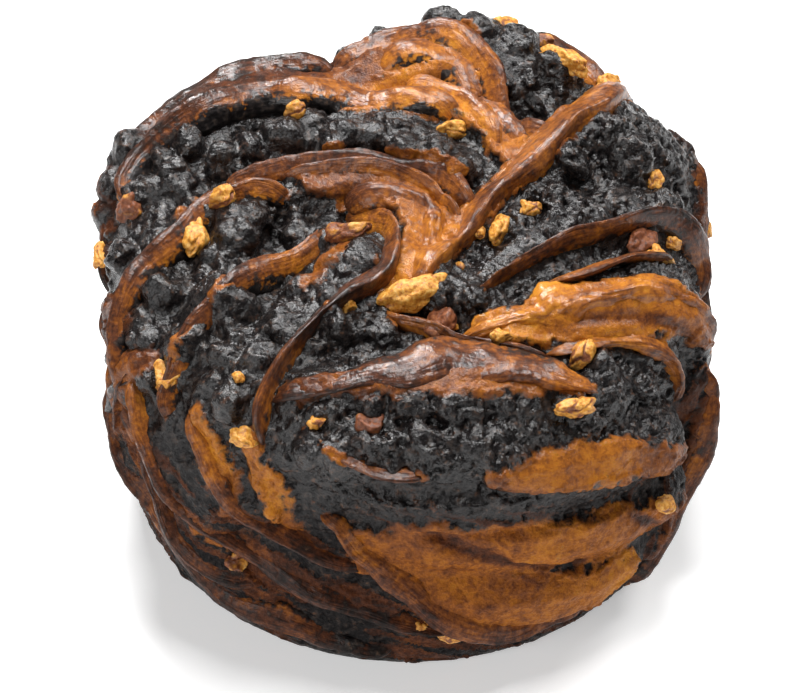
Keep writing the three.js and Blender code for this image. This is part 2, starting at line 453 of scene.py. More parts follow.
def strand(name, rows, sides=24, proud=1.8, stout=1.0, pinch=0.35, folds=0.40, waver=0.14, wander=0.8):
    """A closed strand along the rows. proud, folds and wander are millimetres; pinch narrows its crest."""
    centre, outward, half_width, half_depth, bake_and_shade, along = route(rows, proud, wander)
    half_width = half_width * stout
    rings = len(centre)
    tangent = np.gradient(centre, axis=0)
    tangent /= np.linalg.norm(tangent, axis=1)[:, None]
    side = np.cross(tangent, outward)
    side /= np.linalg.norm(side, axis=1)[:, None]
    up = np.cross(side, tangent)

    deselect()
    bpy.ops.mesh.primitive_uv_sphere_add(segments=sides, ring_count=rings - 1, radius=1)
    piece = bpy.context.object
    piece.name = name
    ball = corners(piece)
    ring = np.arccos(np.clip(-ball[:, 2], -1, 1)) / math.pi * (rings - 1)
    index = np.clip(np.rint(ring).astype(int), 0, rings - 1)
    around = np.arctan2(ball[:, 1], ball[:, 0])
    around[np.abs(ball[:, 2]) > 0.99999] = 0
    pole = (index == 0) | (index == rings - 1)
    to_end = np.minimum(along, along[-1] - along)
    blunt = np.sqrt(np.clip(1 - (1 - np.minimum(to_end / END_ROUND, 1)) ** 2, 0, 1))
    taper = np.where(pole, 0, blunt[index])

    seed = RNG.uniform(0, 100)
    lean = RNG.uniform(-0.35, 0.35)
    girth = (half_width + half_depth)[index] / MM
    # swellings about 7 and 2.6 mm long, folds that run along the strand, and crinkles across them
    swell = np.empty(len(ball))
    for i in range(len(ball)):
        turn = Vector((math.cos(around[i]), math.sin(around[i]), 0))
        run = along[index[i]]
        broad = noise.noise(turn * 0.9 + Vector((0, seed, run / 7)))
        small = noise.noise(turn * 2.2 + Vector((seed, 0, run / 2.6)))
        fold = noise.noise(turn * girth[i] * 0.8 + Vector((0, 0, run / 14 + seed)))
        crinkle = noise.noise(turn * girth[i] * 0.8 + Vector((seed, seed, run / 1.1)))
        swell[i] = waver * broad + 0.5 * waver * small + (fold + 0.35 * crinkle) * 2 * folds / girth[i]

    bow = np.cos(around)  # 1 on the outer side of the strand
    flank = np.sin(around) * (1 - pinch * np.clip(bow, 0, 1))
    gain = (1 + swell) * taper
    across = flank * half_width[index] + lean * half_depth[index] * np.clip(bow, 0, 1) ** 2
    places = centre[index] + side[index] * (across * gain)[:, None]
    places += up[index] * (bow * half_depth[index] * gain)[:, None]
    places[:, 2] = np.maximum(places[:, 2], OFF_THE_BOARD)
    move_corners(piece, places)
    mark(piece, "crest", bow * 0.5 + 0.5)
    mark(piece, "bake_and_shade", np.clip(bake_and_shade[index], 0, 1))
    for loop in piece.data.uv_layers.active.data:
        u, v = loop.uv
        loop.uv = (u * STREAKS, v * along[-1] + seed)
    return piece, np.column_stack([centre + outward * half_depth[:, None], half_width / MM])


def dough(name, *groups, **shape):
    """All strands of some groups, as one piece."""
    made = []
    lines = []
    for strands in groups:
        for label, rows in strands.items():
            piece, line = strand(label, rows, **shape)
            made.append(piece)
            lines.append(line)
    piece = join(made, name)
    bpy.ops.object.mode_set(mode="EDIT")
    bpy.ops.mesh.select_all(action="SELECT")
    bpy.ops.mesh.normals_make_consistent(inside=False)
    bpy.ops.object.mode_set(mode="OBJECT")
    bpy.ops.object.shade_smooth()
    print(f"{name}: {len(made)} strands, {len(piece.data.polygons)} faces")
    return piece, lines


# %% Roll out all strands
dough_pieces = []
strand_lines = []
for name, groups, shape in [
    ("dough_left_whorl", [LEFT_WHORL], {"proud": 2.6, "stout": 1.18}),
    ("dough_right_fan", [RIGHT_FAN], {"proud": 2.2, "stout": 1.1}),
    (
        "dough_crown_faces", [WHORL_FACES, FAN_FACES],
        {"sides": 44, "proud": 0.9, "waver": 0.22, "folds": 0.5},
    ),
    ("dough_front_log", [FRONT_LOG], {"sides": 36, "pinch": 0.15, "folds": 0.4}),
    ("dough_back_loop", [BACK_LOOP], {}),
    ("dough_front_wall", [FRONT_WALL], {"proud": 2.1, "stout": 1.4}),
    ("dough_sides", [SIDES, RIM_EDGES], {"sides": 18, "proud": 1.0}),
]:
    piece, lines = dough(name, *groups, **shape)
    dough_pieces.append(piece)
    strand_lines.extend(lines)

# %% [markdown]
# ## Faces of dough
# Between two edges the dough often shows a broad smooth face, which runs out raggedly into the filling.
# A face is no strand: it is the skin of the loaf itself. So it is a line with a half width, and every
# point of the skin asks how far inside such a line it lies. Each row is a place (shares of the box), a half
# width in millimetres and a bake.

# %% Draw the faces
FACES = {
    "centre": [
        (-0.3, 0.14, 0.86, 3, 0.5), (-0.06, 0.11, 0.87, 6, 0.4), (0.05, 0, 0.86, 6, 0.24),
        (0.03, -0.17, 0.84, 5, 0.18), (-0.02, -0.3, 0.81, 4, 0.2),
    ],
    "outer_band": [
        (0.1, 0.42, 0.88, 4, 0.15), (-0.12, 0.51, 0.9, 6.5, 0.12), (-0.3, 0.52, 0.89, 5.5, 0.3),
        (-0.52, 0.46, 0.87, 3.5, 0.6), (-0.76, 0.34, 0.81, 3, 0.7),
    ],
    "rim_band": [
        (-0.08, 0.6, 0.89, 5, 0.4), (-0.3, 0.61, 0.89, 6.5, 0.62), (-0.52, 0.56, 0.86, 6.5, 0.78),
        (-0.72, 0.46, 0.82, 5.5, 0.85), (-0.85, 0.3, 0.77, 4, 0.85), (-0.91, 0.14, 0.7, 3, 0.75),
    ],
    "in_the_loop": [
        (-0.06, 0.55, 0.88, 5, 0.2), (0.1, 0.54, 0.89, 8, 0.12), (0.22, 0.4, 0.87, 6.5, 0.15),
        (0.28, 0.24, 0.83, 4.5, 0.3),
    ],
    "fan_ridge": [
        (0, -0.27, 0.83, 3.5, 0.1), (0.12, -0.08, 0.86, 4, 0.2), (0.3, 0.14, 0.88, 4, 0.3),
        (0.5, 0.4, 0.89, 4.5, 0.4),
    ],
    "broad": [
        (0.22, -0.46, 0.82, 4, 0.05), (0.45, -0.42, 0.83, 7, 0.15), (0.66, -0.36, 0.81, 7.5, 0.15),
        (0.82, -0.3, 0.76, 6, 0.25), (0.92, -0.28, 0.66, 3, 0.5),
    ],
    "log": [
        (-0.3, -0.61, 0.75, 2.5, 0.5), (-0.05, -0.62, 0.79, 3.5, 0.5), (0.22, -0.62, 0.79, 4.5, 0.42),
        (0.48, -0.63, 0.77, 2, 0.35),
    ],
    "whorl_patch": [
        (-0.22, -0.16, 0.87, 2.5, 0.4), (-0.32, -0.27, 0.86, 3.6, 0.38),
    ],
    "band": [
        (0.26, -0.92, 0.68, 2.5, 0.4), (0.38, -0.88, 0.67, 4.8, 0.2), (0.54, -0.79, 0.64, 5.6, 0.22),
        (0.68, -0.67, 0.57, 5, 0.32), (0.78, -0.55, 0.49, 2.8, 0.5),
    ],
    "skirt_upper": [
        (0, -0.97, 0.5, 5, 0.4), (0.2, -0.95, 0.46, 8.5, 0.3), (0.42, -0.87, 0.42, 9.5, 0.22),
        (0.62, -0.74, 0.38, 8, 0.26), (0.78, -0.58, 0.33, 5, 0.4),
    ],
    "skirt_lower": [
        (-0.16, -0.95, 0.49, 4, 0.36), (-0.02, -0.97, 0.42, 7, 0.38), (0.14, -0.96, 0.34, 9, 0.38),
        (0.33, -0.9, 0.27, 10, 0.34), (0.5, -0.8, 0.24, 8, 0.24), (0.62, -0.69, 0.26, 5, 0),
    ],
    "left_gold": [(-0.66, -0.69, 0.7, 3, 0.12), (-0.61, -0.77, 0.6, 4, 0.15), (-0.55, -0.82, 0.52, 3, 0.4)],
    "front_gold": [
        (-0.47, -0.76, 0.68, 2.5, 0.2), (-0.42, -0.87, 0.58, 3.5, 0.1), (-0.4, -0.91, 0.5, 2.5, 0.3),
    ],
    # The low faces are baked darker towards the bottom: partly a darker crust, partly painted shade.
    "left_low": [
        (-0.9, -0.36, 0.5, 2.4, 0.5), (-0.76, -0.62, 0.33, 3, 0.6), (-0.45, -0.85, 0.22, 2.4, 0.75),
    ],
    "front_low": [
        (-0.66, -0.74, 0.42, 2.2, 0.5), (-0.4, -0.89, 0.33, 2.8, 0.7), (-0.08, -0.96, 0.25, 2.8, 0.78),
    ],
    "right_wall": [
        (0.91, -0.36, 0.5, 2.5, 0.7), (0.86, -0.43, 0.34, 4, 0.6), (0.74, -0.54, 0.2, 4, 0.5),
    ],
}
for lobe in LOBE_TURNS:
    rows = slanting(lobe + 3, RNG.uniform(3, 7), RNG.uniform(0.5, 0.8), 2)
    FACES[f"side_{lobe}"] = [(x, y, z, width, bake_and_shade) for x, y, z, width, _, bake_and_shade in rows]

# Where one face laps over the next, a fold runs between them. Each row is a place and a half width.
# A fold is pressed into the skin, and roughen() also darkens its colour there as painted shade.
FOLDS = [
    [(-0.16, -0.9, 0.655, 1.2), (0, -0.93, 0.64, 2.2), (0.2, -0.93, 0.64, 2.2), (0.42, -0.88, 0.6, 1.6)],
    [(0.06, -0.97, 0.53, 1), (0.2, -0.95, 0.46, 1.6), (0.36, -0.9, 0.38, 1.6), (0.52, -0.8, 0.33, 1)],
    [(0.5, -0.44, 0.83, 0.8), (0.66, -0.4, 0.81, 1.4), (0.82, -0.36, 0.75, 1.4), (0.9, -0.36, 0.66, 1)],
    [(0.62, -0.7, 0.44, 0.8), (0.72, -0.64, 0.34, 1.4), (0.72, -0.62, 0.24, 1.2)],
]


def line_on_crust(rows):
    """Points every millimetre along the rows, with the numbers after the place carried along."""
    stations = [(*on_crust(*row[:3]), *row[3:]) for row in rows]
    length = length_of(np.array([s[:3] for s in stations]))
    return spline(stations, max(4, int(length / MM)))


face_lines = [line_on_crust(rows) for rows in FACES.values()]
fold_lines = [line_on_crust(rows) for rows in FOLDS]
print("faces of dough:", len(face_lines), "folds:", len(fold_lines))


# %% How far inside a line a point lies
def inside(places, lines, reach_out=8 * MM):
    """For every place, the most millimetres it lies inside any line, and which line and point that is."""
    depth = np.full(len(places), -reach_out / MM)
    value = np.zeros(len(places))
    for line in lines:
        points, width = line[:, :3], line[:, 3]
        margin = width.max() * MM + reach_out
        low, high = points.min(axis=0) - margin, points.max(axis=0) + margin
        rows = np.flatnonzero(np.all((places > low) & (places < high), axis=1))
        for some in np.array_split(rows, len(rows) // 20000 + 1):
            gap = np.linalg.norm(places[some][:, None, :] - points[None], axis=2) / MM
            own = width[None] - gap
            best = own.argmax(axis=1)
            own = own[np.arange(len(some)), best]
            better = own > depth[some]
            depth[some[better]] = own[better]
            if line.shape[1] > 4:
                value[some[better]] = line[best[better], 4]
    return depth, value


# %% [markdown]
# ## The filling
# Between the dough edges lies the filling: cocoa and seeds baked to a dark crumb. It is the ground that
# everything else sits in, so it starts as a copy of the frame's solid, pressed in a little. Crumbs of
# filling are pushed into that, and a voxel remesh melts all into one skin, which is then roughened.
# The faces of dough are part of this skin, only smoother and a little higher.

# %% Heaps of filling
# Each row is a place (shares of the box) and a radius in millimetres. On the right the filling is a
# smooth bank, so its heaps are sunk deeper. The knob is a clump that stands out at the back left.
KNOB = [
    (-0.9, 0.36, 0.82, 5.5), (-0.93, 0.27, 0.78, 4.5), (-0.96, 0.2, 0.72, 4),
]
HEAPS = [
    (-0.37, -0.02, 0.92, 7), (-0.45, -0.11, 0.91, 3.6), (-0.52, -0.2, 0.89, 3.2), (-0.65, -0.33, 0.84, 7.5),
    (-0.71, -0.46, 0.76, 5.5), (-0.79, -0.26, 0.79, 5), (-0.59, -0.1, 0.89, 5), (-0.88, -0.05, 0.76, 4.8),
    (-0.86, 0.16, 0.82, 4), (-0.62, 0.3, 0.89, 5.5), (-0.53, 0.32, 0.9, 5), (-0.41, 0.35, 0.92, 5.8),
    (-0.33, 0.39, 0.92, 4.6), (-0.24, 0.31, 0.93, 4.8), (-0.13, 0.32, 0.93, 4.6), (-0.03, 0.28, 0.94, 4.6),
    (0.08, 0.26, 0.93, 4.8), (0.17, 0.2, 0.92, 4.2), (0.12, 0.01, 0.92, 4.6), (0.16, -0.08, 0.9, 3.8),
    (-0.39, -0.32, 0.87, 5.2), (-0.29, -0.23, 0.9, 4.8), (-0.17, -0.22, 0.91, 5.4), (-0.23, -0.12, 0.91, 4),
    (-0.44, -0.47, 0.84, 5.2), (-0.56, -0.54, 0.78, 4.4), (-0.47, -0.58, 0.8, 4.4), (-0.53, -0.65, 0.73, 5),
    (-0.78, -0.48, 0.68, 4.4), (-0.18, -0.52, 0.88, 5.2), (-0.08, -0.56, 0.88, 4.4),
    (-0.27, -0.5, 0.87, 4.6), (-0.12, -0.44, 0.88, 4.4), (-0.7, 0.04, 0.86, 4.6), (-0.76, 0.26, 0.84, 3.8),
    (-0.46, 0.04, 0.91, 4.4), (-0.6, 0, 0.89, 4.4), (0.86, 0.14, 0.82, 5.5), (0.55, 0.12, 0.9, 7),
    (0.75, 0.32, 0.86, 8), (0.62, 0.36, 0.88, 6), (0.4, -0.02, 0.9, 5), (0.6, -0.02, 0.88, 4.5),
    (0.36, 0.78, 0.94, 6.5), (0.5, 0.66, 0.93, 6.5), (0.12, 0.88, 0.94, 6), (-0.08, 0.84, 0.92, 5.5),
    (-0.2, 0.78, 0.9, 4.5), (0.1, -0.36, 0.86, 4), (0.2, -0.38, 0.86, 3.5), (0.6, -0.56, 0.77, 4),
    (0.74, -0.54, 0.7, 4.5), (0.24, 0.8, 0.95, 5.5), (0.44, 0.5, 0.93, 5.5), (0.52, 0.24, 0.9, 5),
]
# The slab under the log, as rows of heaps side by side: [first place, last place, radius, how many].
SLAB = [
    ((-0.28, -0.8, 0.7), (0.56, -0.72, 0.7), 5.5, 12), ((-0.2, -0.72, 0.76), (0.5, -0.7, 0.76), 5, 10),
    ((-0.2, -0.85, 0.69), (0.3, -0.87, 0.7), 4.5, 8),
]
CRUMBS = 460
HEAP_SUNK, BANK_SUNK, SLAB_SUNK, KNOB_SUNK = 0.55, 0.8, 0.72, -0.1  # shares of a heap's radius
BANK_FROM = 0.3  # the bank begins this far right
PRESSED_CROWN = 2.2  # millimetres that the filling lies below the solid's surface
PRESSED_WALL = 1.3  # the tin holds the wall smoother
FOLD_DEPTH = 1.2


def copy_of(source, name):
    piece = source.copy()
    piece.data = source.data.copy()
    piece.name = name
    piece.parent = None
    for key in list(piece.keys()):
        del piece[key]
    piece.data.materials.clear()
    bpy.context.scene.collection.objects.link(piece)
    return piece


def crumb_kind(number):
    """A ball of filling, knocked out of round."""
    bpy.ops.mesh.primitive_ico_sphere_add(subdivisions=3, radius=1)
    piece = bpy.context.object
    places = corners(piece)
    for i, place in enumerate(places):
        p = Vector(place)
        places[i] = p * (1 + 0.30 * noise.noise(p * 1.3 + Vector((number * 7, 0, 0))))
    move_corners(piece, places)
    return piece


crumb_kinds = [crumb_kind(number) for number in range(5)]


def crumb(spot, radius, sunk):
    """A copy of some kind of crumb, sunk into the crust by that share of its radius."""
    made = copy_of(RNG.choice(crumb_kinds), "crumb")
    outward = away(spot)
    turned = Matrix.Rotation(RNG.uniform(0, math.tau), 4, outward)
    stretch = Matrix.Diagonal((RNG.uniform(0.8, 1.2), RNG.uniform(0.8, 1.2), RNG.uniform(0.75, 1.0), 1))
    place = Matrix.Translation(spot - outward * radius * sunk)
    made.data.transform(place @ turned @ stretch @ Matrix.Scale(radius, 4))
    return made


def scattered_crumbs():
    """Small crumbs all over the filling, larger and in heaps towards the left of the crown."""
    made = []
    spots = []
    while len(spots) < CRUMBS * 12:
        turn = RNG.uniform(0, math.tau)
        rise = RNG.uniform(-0.45, 1)
        flat = math.sqrt(1 - rise * rise)
        direction = Vector((math.cos(turn) * flat, math.sin(turn) * flat, rise))
        spot = MIDDLE + direction * reach(direction)
        if spot.z > 5 * MM:
            spots.append(spot)
    places = np.array(spots)
    in_face, _ = inside(places, face_lines)
    in_strand, _ = inside(places, strand_lines)
    for spot, face_depth, strand_depth in zip(spots, in_face, in_strand):
        p = spot / MM
        left = 1 / (1 + math.exp((p.x - 0.2 * p.y) / 9))
        high = min(1, max(0, (p.z - 50) / 16))
        radius = 1.3 + (0.2 + left) * high * RNG.uniform(0, 1) ** 1.6 * 3.0
        if RNG.random() > (0.25 + 0.75 * left) * (0.15 + 0.85 * high):
            continue
        if face_depth > -0.3 * radius or strand_depth > -0.4 * radius:
            continue
        pressed = PRESSED_WALL + (PRESSED_CROWN - PRESSED_WALL) * high
        made.append(crumb(spot - away(spot) * pressed * MM, radius * MM, 0.45 if high > 0.5 else 0.9))
        if len(made) == CRUMBS:
            break
    return made


# %% Melt the filling into one skin
COARSE_VOXEL = 1.2 * MM  # for pressing, before the crumbs are joined
VOXEL = 0.55 * MM
SOFTENINGS = 9


def crownward(places):
    """0 on the wall, which the tin kept smooth, and 1 on the crown."""
    return smoothstep(0.50 * SIZE.z, 0.68 * SIZE.z, places[:, 2])


def melt(piece, voxel):
    pick(piece)
    piece.data.remesh_voxel_size = voxel
    bpy.ops.object.voxel_remesh()


def soften(piece, times):
    pick(piece)
    soft = piece.modifiers.new("soft", "SMOOTH")
    soft.iterations = times
    bpy.ops.object.modifier_apply(modifier=soft.name)


def directions(piece):
    normals = np.empty(len(piece.data.vertices) * 3)
    piece.data.vertices.foreach_get("normal", normals)
    return normals.reshape(-1, 3)


def ragged(places):
    """How far the edge of a face of dough strays, in millimetres, at every place."""
    strays = np.empty(len(places))
    for i, place in enumerate(places):
        p = Vector(place) / MM
        strays[i] = 2.4 * noise.noise(p / 6) + 1.8 * noise.noise(p / 1.8)
    return strays


def press(piece):
    """Push the skin in, except where a face of dough shows or a strand passes."""
    places = corners(piece)
    in_face, _ = inside(places, face_lines)
    in_strand, _ = inside(places, strand_lines)
    held = np.maximum(smoothstep(-1.5, 1.0, in_face), 0.5 * smoothstep(-2.0, 0.0, in_strand))
    in_fold, _ = inside(places, fold_lines)
    fold = smoothstep(-1.5, 1.0, in_fold)
    foot = smoothstep(0, 6 * MM, places[:, 2])
    pressed = PRESSED_WALL + (PRESSED_CROWN - PRESSED_WALL) * crownward(places)
    sunk = (pressed * (1 - held) + FOLD_DEPTH * fold) * foot
    move_corners(piece, places - directions(piece) * (sunk * MM)[:, None])


ground = copy_of(cad, "filling")
pick(ground)
bpy.ops.object.mode_set(mode="EDIT")
bpy.ops.mesh.select_all(action="SELECT")
bpy.ops.mesh.remove_doubles(threshold=1e-6)
bpy.ops.object.mode_set(mode="OBJECT")
melt(ground, COARSE_VOXEL)
press(ground)
heaps = []
for x, y, z, radius in HEAPS:
    heaps.append(crumb(on_crust(x, y, z), radius * MM, HEAP_SUNK if x < BANK_FROM else BANK_SUNK))
for x, y, z, radius in KNOB:
    heaps.append(crumb(on_crust(x, y, z), radius * MM, KNOB_SUNK))
for first, last, radius, count in SLAB:
    for step in range(count):
        x, y, z = Vector(first).lerp(Vector(last), (step + RNG.uniform(-0.3, 0.3)) / (count - 1))
        heaps.append(crumb(on_crust(x, y, z), radius * RNG.uniform(0.8, 1.1) * MM, SLAB_SUNK))
crumbs = scattered_crumbs()
print("heaps:", len(heaps), "crumbs:", len(crumbs))
ground = join([ground] + heaps + crumbs, "filling")
melt(ground, VOXEL)
soften(ground, SOFTENINGS)
bpy.ops.object.shade_smooth()
for kind in crumb_kinds:
    bpy.data.objects.remove(kind)
print("skin:", len(ground.data.polygons), "faces after the remesh")


# %% Dough smeared along the wall
def smeared_dough(places):
    """Thin streaks of dark dough on the wall. In front they run down to the right, elsewhere they slant."""
    round_wall = np.arctan2(places[:, 1], places[:, 0]) * SIZE.x / 2 / MM
    height = places[:, 2] / MM
    front = (places[:, 1] < 0) & (places[:, 0] < 0.3 * SIZE.x)
    across = np.where(front, height + 0.4 * round_wall, 0.85 * round_wall - 0.5 * height)
    down = np.where(front, round_wall, height)
    streak = np.empty(len(places))
    for i in range(len(places)):
        wave = noise.noise(Vector((across[i] / 3.2, down[i] / 20, 5)))
        streak[i] = wave + 0.4 * noise.noise(Vector((across[i] / 1.1, down[i] / 7, 9)))
    on_wall = 1 - smoothstep(0.50 * SIZE.z, 0.66 * SIZE.z, places[:, 2])
    low = 1 - smoothstep(0.08 * SIZE.z, 0.25 * SIZE.z, places[:, 2])
    return smoothstep(0.12, 0.36, streak + 0.12 * low) * on_wall


# %% [markdown]
# ## The surface of the filling
# The filling stands in crumbs; on the right and the front it is spongy, with small holes. A face of dough
# is smooth, with slow waves. Displace modifiers could do one of these, but each needs a mask and a texture,
# so the points are moved in one loop, by noise of two or three sizes. What is dough is marked on the way,
# so that the finish can tell the two apart.

# %% Roughen the skin
knob_heaps = np.array([(*on_crust(x, y, z), radius) for x, y, z, radius in KNOB])


def roughen(piece):
    places = corners(piece)
    in_face, bake_and_shade = inside(places, face_lines)
    in_strand, _ = inside(places, strand_lines)
    strays = ragged(places)
    shown = smoothstep(-1.8, 1.8, in_face + strays)
    fringe = smoothstep(-0.8, 0.8, in_strand + 0.5 * strays - 0.8)
    dough_share = np.maximum(shown, fringe)
    rugged = 0.6 + 0.4 * crownward(places)
    streaks = smeared_dough(places)
    dough_share = np.maximum(dough_share, streaks)
    in_knob, _ = inside(places, [knob_heaps])
    dough_share *= 1 - smoothstep(-1.0, 0.5, in_knob)
    in_fold, _ = inside(places, fold_lines)
    fold = smoothstep(-1.0, 0.8, in_fold)
    foot = smoothstep(0.5 * MM, 5 * MM, places[:, 2])
    to_the_right = places[:, 0] - 0.35 * places[:, 1] - 0.2 * (places[:, 2] - 60 * MM)
    spongy = smoothstep(-12 * MM, 12 * MM, to_the_right)
    rise = np.empty(len(places))
    for i, place in enumerate(places):
        p = Vector(place) / MM
        if dough_share[i] > 0.99:
            rise[i] = 0.6 * noise.noise(p / 7) + 0.35 * noise.noise(p / 2.6)
            continue
        lump = noise.noise(p / 4.5 + Vector((3, 8, 0)))
        grain = noise.fractal(p / 1.3, 0.7, 2.1, 2)
        hole = max(0.0, noise.noise(p / 1.6 + Vector((9, 0, 4))) - 0.10)
        granular = 0.7 * lump + 0.30 * grain - 0.5 * hole
        porous = 0.4 * lump + 0.30 * grain - 2.2 * hole
        rough = rugged[i] * (granular * (1 - spongy[i]) + porous * spongy[i])
        smooth = 0.6 * noise.noise(p / 7) + 0.35 * noise.noise(p / 2.6) + 0.5
        rise[i] = rough * (1 - dough_share[i]) + smooth * dough_share[i]
    rise *= foot
    places += directions(piece) * (rise * MM)[:, None]
    places[:, 2] = np.maximum(places[:, 2], 0)
    move_corners(piece, places)
    mark(piece, "dough", dough_share)
    # Folds add half to the mark: painted shade that darkens the crease between two faces.
    mark(piece, "bake_and_shade", np.where(shown > 0.3, bake_and_shade, np.where(streaks > 0.3, 0.78, 0.3)) + 0.5 * fold)


roughen(ground)
skin_tree = BVHTree.FromObject(ground, bpy.context.evaluated_depsgraph_get())
print("skin reaches, in mm:", [round(v / MM, 1) for v in corners(ground).max(axis=0)])

# %% [markdown]
# ## A crown and two half walls
# One skin this fine is a heavy mesh, so it is cut into closed pieces along flat planes, with bisect. Each
# cut is marked sharp, so that the shading stays smooth up to it on both sides. Decimate then thins out
# faces where the skin is smooth enough to spare them.

# %% Cut the skin into a crown and two half walls
MOST_TRIANGLES = 190_000


def thin_out(piece):
    triangles = sum(len(face.vertices) - 2 for face in piece.data.polygons)
    if triangles <= MOST_TRIANGLES:
        return
    pick(piece)
    fewer = piece.modifiers.new("fewer", "DECIMATE")
    fewer.ratio = MOST_TRIANGLES / triangles
    bpy.ops.object.modifier_apply(modifier=fewer.name)


CROWN_FROM = 0.62 * SIZE.z


def cut(piece, name, *planes):
    """A copy of the piece, cut by planes (point, normal); the side the normal points at is removed."""
    part = copy_of(piece, name)
    pick(part)
    bpy.ops.object.mode_set(mode="EDIT")
    for point, normal in planes:
        bpy.ops.mesh.select_all(action="SELECT")
        bpy.ops.mesh.bisect(plane_co=point, plane_no=normal, use_fill=True, clear_outer=True)
        bpy.ops.mesh.mark_sharp()
    bpy.ops.object.mode_set(mode="OBJECT")
    print(f"{name}: {len(part.data.polygons)} faces")
    thin_out(part)
    print(f"{name}: {len(part.data.polygons)} faces kept")
    return part


lid = ((0, 0, CROWN_FROM), (0, 0, -1))
wall = ((0, 0, CROWN_FROM), (0, 0, 1))
filling_pieces = [
    cut(ground, "filling_crown", lid),
    cut(ground, "filling_front_wall", wall, ((0, 0, 0), (0, 1, 0))),
    cut(ground, "filling_back_wall", wall, ((0, 0, 0), (0, -1, 0))),
]
bpy.data.objects.remove(ground)

# %% [markdown]
# ## Walnuts
# The nuts are chopped, so each piece has a few flat broken faces and a wrinkled skin on one side. Four
# kinds are modelled once: a ball is cut by planes and roughened. Each nut in the loaf is a copy of one of
# them, turned, stretched to its size and pressed into the crust.

# %% Model four kinds of chopped walnut
def walnut_kind(number):
    deselect()
    bpy.ops.mesh.primitive_ico_sphere_add(subdivisions=4, radius=1)
    piece = bpy.context.object
    bpy.ops.object.mode_set(mode="EDIT")
    for _ in range(4 + number % 2):
        normal = Vector((RNG.uniform(-1, 1), RNG.uniform(-1, 1), RNG.uniform(-0.4, 1))).normalized()
        bpy.ops.mesh.select_all(action="SELECT")
        bpy.ops.mesh.bisect(
            plane_co=normal * RNG.uniform(0.5, 0.8), plane_no=normal, use_fill=True, clear_outer=True
        )
    bpy.ops.object.mode_set(mode="OBJECT")
    remesh = piece.modifiers.new("even", "REMESH")
    remesh.mode = "VOXEL"
    remesh.voxel_size = 0.11
    bpy.ops.object.modifier_apply(modifier=remesh.name)
    places = corners(piece)
    creases = np.zeros(len(places))
    for i, place in enumerate(places):
        p = Vector(place)
        fold = noise.noise(p * 1.7 + Vector((number * 5, 0, 0)))
        grain = noise.noise(p * 5 + Vector((0, number * 5, 0)))
        creases[i] = max(0.0, 1 - abs(noise.noise(p * 1.1 + Vector((0, 0, number * 3)))) * 6)
        places[i] = p * (1 + 0.24 * fold + 0.05 * grain - 0.16 * creases[i])
    move_corners(piece, places)
    mark(piece, "crease", creases)
    bpy.ops.object.shade_smooth()
    piece.name = f"walnut_kind_{number}"
    return piece


kinds = [walnut_kind(number) for number in range(4)]
print("faces of one walnut piece:", [len(kind.data.polygons) for kind in kinds])

# %% Press the walnuts in
# Each row is a place (shares of the box), length and width in millimetres, the turn of its length in
# degrees from the right towards the back, how much of the brown skin shows, from 0 to 1, and how far it
# lies out of the filling, as a share of half its thickness.
WALNUTS = [
    (0.3, 0.8, 0.9, 7, 6, 90, 0, 0.4), (0.42, 0.78, 0.89, 6, 4, -20, 0.6, 0.3),
    (0.46, 0.56, 0.9, 14, 5, -60, 0, -0.1), (0.66, 0.66, 0.86, 6, 5, 20, 0, 0.8),
    (0.82, 0.27, 0.83, 6.5, 4, 80, 0.2, 0.2), (0.3, -0.05, 0.88, 8.5, 4.5, 80, 0, 0.4),
    (0.38, 0.02, 0.88, 5, 4.5, 30, 0.3, 0.3), (0.23, -0.06, 0.87, 3, 2.5, 60, 0.1, 0.2),
    (0.16, -0.2, 0.85, 3.5, 2.2, 80, 0.3, 0.3), (0.13, -0.44, 0.82, 3.5, 2, 0, 0, 0.5),
    (-0.19, -0.08, 0.88, 10, 6, 0, 0.6, 0.3), (-0.68, -0.03, 0.84, 12, 6.5, 80, 0.05, 0.9),
    (-0.57, 0.05, 0.86, 8, 5, -10, 0.35, 0.6), (0, -0.36, 0.86, 15, 7, 28, 0, 1),
    (0.1, -0.45, 0.85, 8, 6, 70, 0.95, 0.8), (0.28, -0.52, 0.84, 5, 3.5, 10, 0, 0.5),
    (0.53, -0.55, 0.8, 8, 4, 80, 0.2, 0.6), (0.44, -0.68, 0.74, 9, 4.5, 15, 0.2, 0.5),
    (0.85, -0.1, 0.82, 8, 5, 0, 0.1, 0.7), (0.89, 0, 0.8, 4, 3, 0, 0, 0.3),
    (0.76, -0.06, 0.84, 10, 5, 40, 1, 0.6), (-0.19, -0.38, 0.84, 4, 3, 80, 0, 0.3),
    (-0.72, -0.5, 0.7, 7.5, 6.5, -30, 0, 0.2), (-0.49, -0.77, 0.7, 6.5, 4.5, -30, 0, 0.2),
    (-0.46, -0.56, 0.74, 3, 2.5, 30, 0, 0.2), (-0.82, 0.1, 0.78, 7.5, 6, 20, 0.8, 0.1),
    (-0.96, 0.05, 0.7, 8, 4, 90, 0, 0), (-0.56, 0.42, 0.86, 5, 2.5, 10, 0, 0.3),
    (-0.345, 0.36, 0.9, 6, 4, -20, 0.5, 0.5), (0.73, -0.64, 0.41, 5, 4.5, 0, 0.2, 0.1),
    (-0.11, -0.74, 0.74, 6, 5, 0, 0.9, 0.1), (-0.26, -0.74, 0.74, 4, 3, 30, 0.3, 0.2),
    (0.12, -0.93, 0.17, 6.5, 3, 10, 0.2, 0.1), (0.03, -0.95, 0.2, 3.5, 3, 0, 0, 0.1),
    (-0.25, -0.93, 0.27, 3.5, 3, 30, 0.1, 0.1), (-0.55, -0.8, 0.3, 5, 4, 30, 0.6, 0.1),
    (0.13, 0.38, 0.9, 8, 4, 0, 0.1, 0.3),
]
SIDE_WALNUTS = 16


